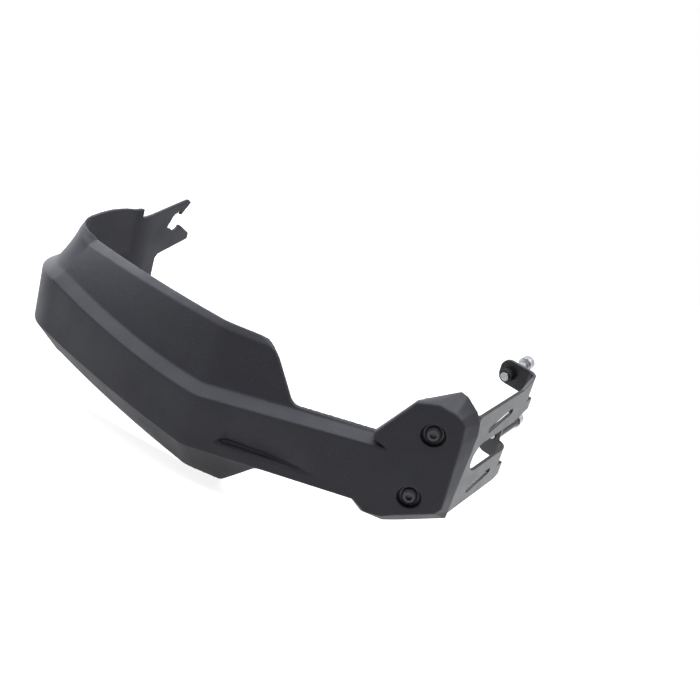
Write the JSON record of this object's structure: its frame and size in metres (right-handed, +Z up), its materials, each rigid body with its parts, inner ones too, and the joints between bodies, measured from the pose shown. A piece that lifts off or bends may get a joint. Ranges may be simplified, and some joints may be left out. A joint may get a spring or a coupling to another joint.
{
  "type": "motorcycle hand guard",
  "caption": "Wraparound handlebar hand guard: faceted plastic deflector on an arm, screwed to a folded clamp bracket, with an open bar-end hook.",
  "frame": {"origin": "middle of the free shank of the upper clamp bolt, where the bracket is held", "axes": "+X inboard along the handlebar, +Y rearward to the rider, +Z up along the line of the two block screws"},
  "size_m": [0.3605, 0.214, 0.1307],
  "materials": {
    "black_plastic": "fine moulded grain, satin black",
    "black_sheet": "satin black powder coat",
    "black_steel": "black oxide",
    "zinc_steel": "plain zinc plate",
    "bright_steel": "bright plated"
  },
  "bodies": {
    "root": {"guard_shell": "black_plastic", "clamp_bracket": "black_sheet", "block_screw_upper": "black_steel", "block_screw_lower": "black_steel", "block_washer_upper": "black_steel", "block_washer_lower": "black_steel", "block_sleeve_upper": "zinc_steel", "block_sleeve_lower": "zinc_steel", "weld_nut_upper": "zinc_steel", "weld_nut_lower": "zinc_steel", "clamp_boss_upper": "black_sheet", "clamp_bolt_upper": "bright_steel", "clamp_bolt_lower": "bright_steel", "clamp_washer_lower": "bright_steel", "clamp_spacer_lower": "black_steel"}
  },
  "joints": []
}
